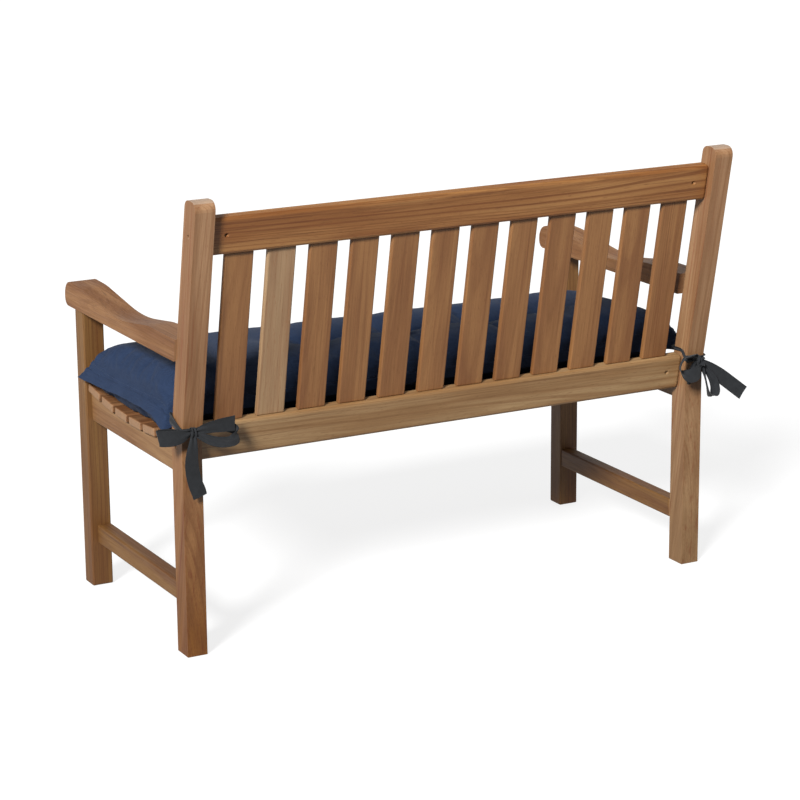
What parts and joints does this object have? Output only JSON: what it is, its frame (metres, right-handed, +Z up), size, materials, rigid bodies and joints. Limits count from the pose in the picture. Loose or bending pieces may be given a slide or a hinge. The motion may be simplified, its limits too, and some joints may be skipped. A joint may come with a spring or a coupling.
{
  "type": "bench cushion on garden bench",
  "caption": "Filled navy bench cushion with a flat sewn border, tied by ribbon bows behind the posts of the slatted wooden two-seat garden bench that it lies on.",
  "frame": {"origin": "on the ground under the middle of the bench", "axes": "+X along the bench, +Y from the seat toward the back rest, +Z up; a sitter faces -Y"},
  "size_m": [1.3532, 0.6724, 0.919],
  "materials": {
    "bench_wood": "planed and oiled, dry, with brown and orange streaks",
    "cushion_cloth": "matte plain-weave canvas",
    "tie_ribbon": "matte woven ribbon",
    "screw_steel": "dull zinc-plated screw heads deep in their holes"
  },
  "bodies": {
    "root": {"cushion": "cushion_cloth", "tie_left": "tie_ribbon", "tie_right": "tie_ribbon", "rear_post_left": "bench_wood", "rear_post_right": "bench_wood", "front_leg_left": "bench_wood", "front_leg_right": "bench_wood", "arm_left": "bench_wood", "arm_right": "bench_wood", "side_apron_left": "bench_wood", "side_apron_right": "bench_wood", "side_stretcher_left": "bench_wood", "side_stretcher_right": "bench_wood", "top_rail": "bench_wood", "lower_rail": "bench_wood", "front_apron": "bench_wood", "back_slat_01": "bench_wood", "back_slat_02": "bench_wood", "back_slat_03": "bench_wood", "back_slat_04": "bench_wood", "back_slat_05": "bench_wood", "back_slat_06": "bench_wood", "back_slat_07": "bench_wood", "back_slat_08": "bench_wood", "back_slat_09": "bench_wood", "back_slat_10": "bench_wood", "back_slat_11": "bench_wood", "back_slat_12": "bench_wood", "seat_slat_1": "bench_wood", "seat_slat_2": "bench_wood", "seat_slat_3": "bench_wood", "seat_slat_4": "bench_wood", "seat_slat_5": "bench_wood", "seat_slat_6": "bench_wood", "seat_slat_7": "bench_wood"}
  },
  "joints": []
}
